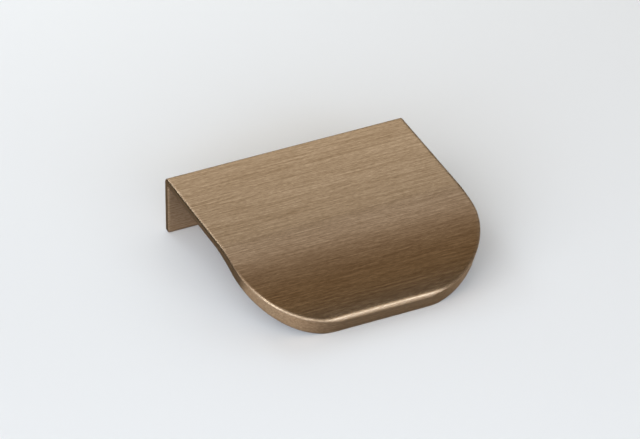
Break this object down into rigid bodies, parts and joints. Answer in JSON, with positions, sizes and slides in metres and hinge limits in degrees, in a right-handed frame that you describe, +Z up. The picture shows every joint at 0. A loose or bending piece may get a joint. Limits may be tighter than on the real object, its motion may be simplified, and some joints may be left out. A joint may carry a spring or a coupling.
{
  "type": "handle strip",
  "caption": "Short edge pull: a level plate with a fixing lip below its rear edge and a front that curves down and thickens to a rounded nose with milled corners.",
  "frame": {"origin": "inside corner where the seat under the plate meets the lip's inner face, at mid-width", "axes": "+X along the strip, +Z up out of the plate's top face, +Y towards the lip's outer face, so that the nose points to -Y"},
  "size_m": [0.07, 0.0641, 0.0171],
  "materials": {
    "brushed_bronze": "fine brushed along the strip, anodised warm bronze"
  },
  "bodies": {
    "root": {"handle_strip": "brushed_bronze"}
  },
  "joints": []
}
